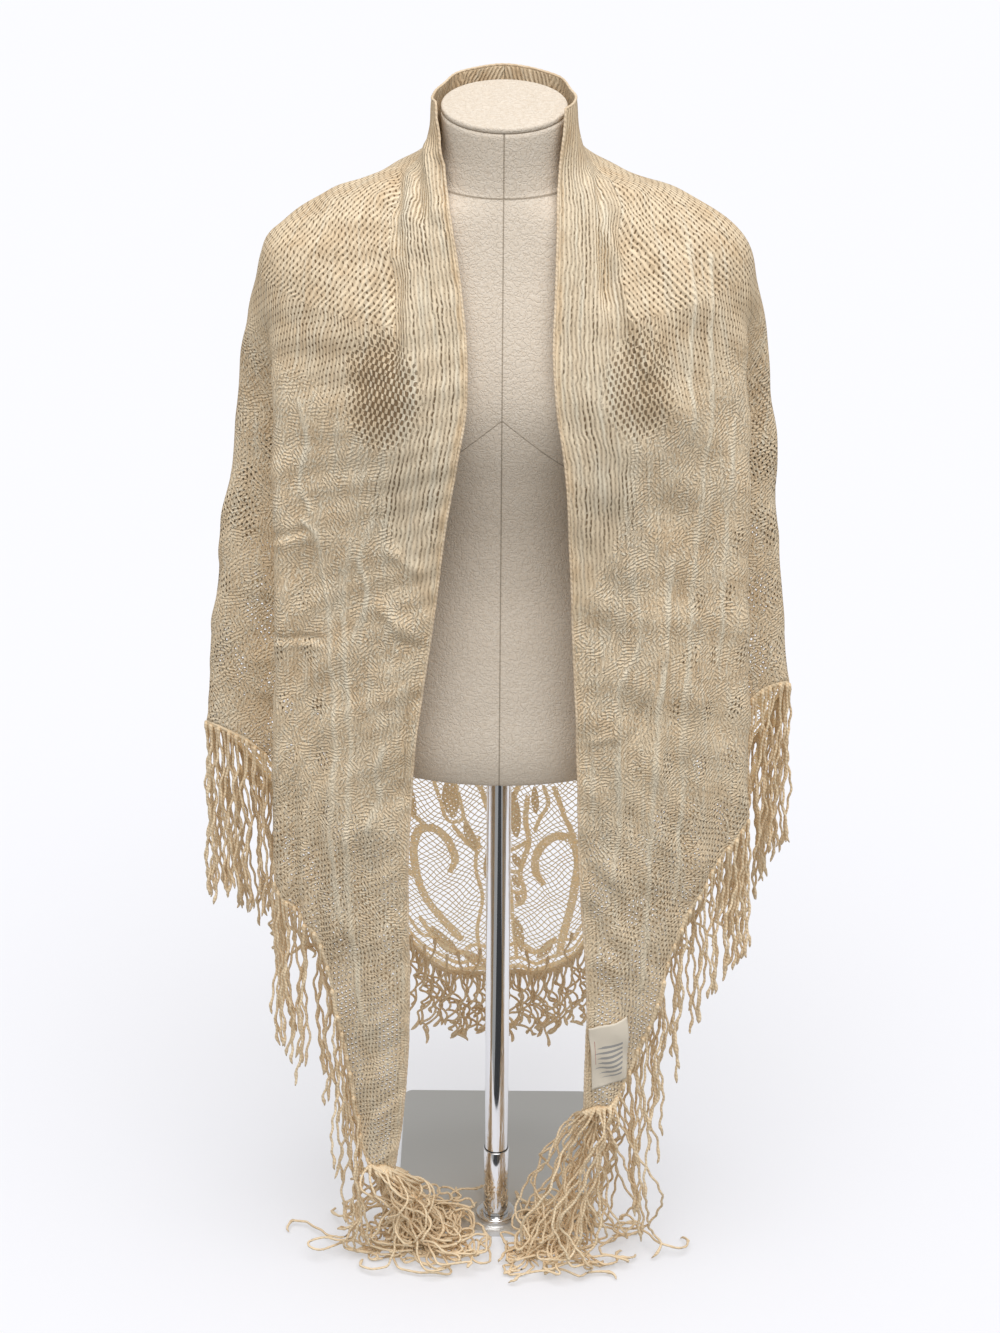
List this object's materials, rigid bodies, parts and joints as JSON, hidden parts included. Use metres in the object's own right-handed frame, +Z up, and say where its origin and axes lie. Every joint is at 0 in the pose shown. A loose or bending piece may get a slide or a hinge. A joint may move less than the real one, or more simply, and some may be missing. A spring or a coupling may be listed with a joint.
{
  "type": "lace shawl on dress form",
  "caption": "Three-cornered knitted lace shawl with a long fringe, worn open over a limbless dress form on a round pole and a flat rectangular base plate.",
  "frame": {"origin": "on the floor under the middle of the pole, at the base plate's underside", "axes": "+Z up; -Y to the front, where the shawl is open; +X to the viewer's right when seen from the front"},
  "size_m": [0.5939, 0.3852, 1.265],
  "materials": {
    "lace": "open knitted lace in ecru yarn",
    "fringe": "twisted ecru yarn",
    "label": "smooth woven ribbon",
    "form_cover": "linen-like cover, matt",
    "chrome_tube": "polished",
    "steel_plate": "satin"
  },
  "bodies": {
    "root": {"shawl_left_front": "lace", "shawl_back": "lace", "shawl_right_front": "lace", "fringe_left_front": "fringe", "fringe_back": "fringe", "fringe_right_front": "fringe", "care_label": "label", "form_torso": "form_cover", "form_neck_cap": "form_cover", "stand_pole": "chrome_tube", "stand_sleeve": "chrome_tube", "stand_foot": "chrome_tube", "stand_plate": "steel_plate"}
  },
  "joints": []
}
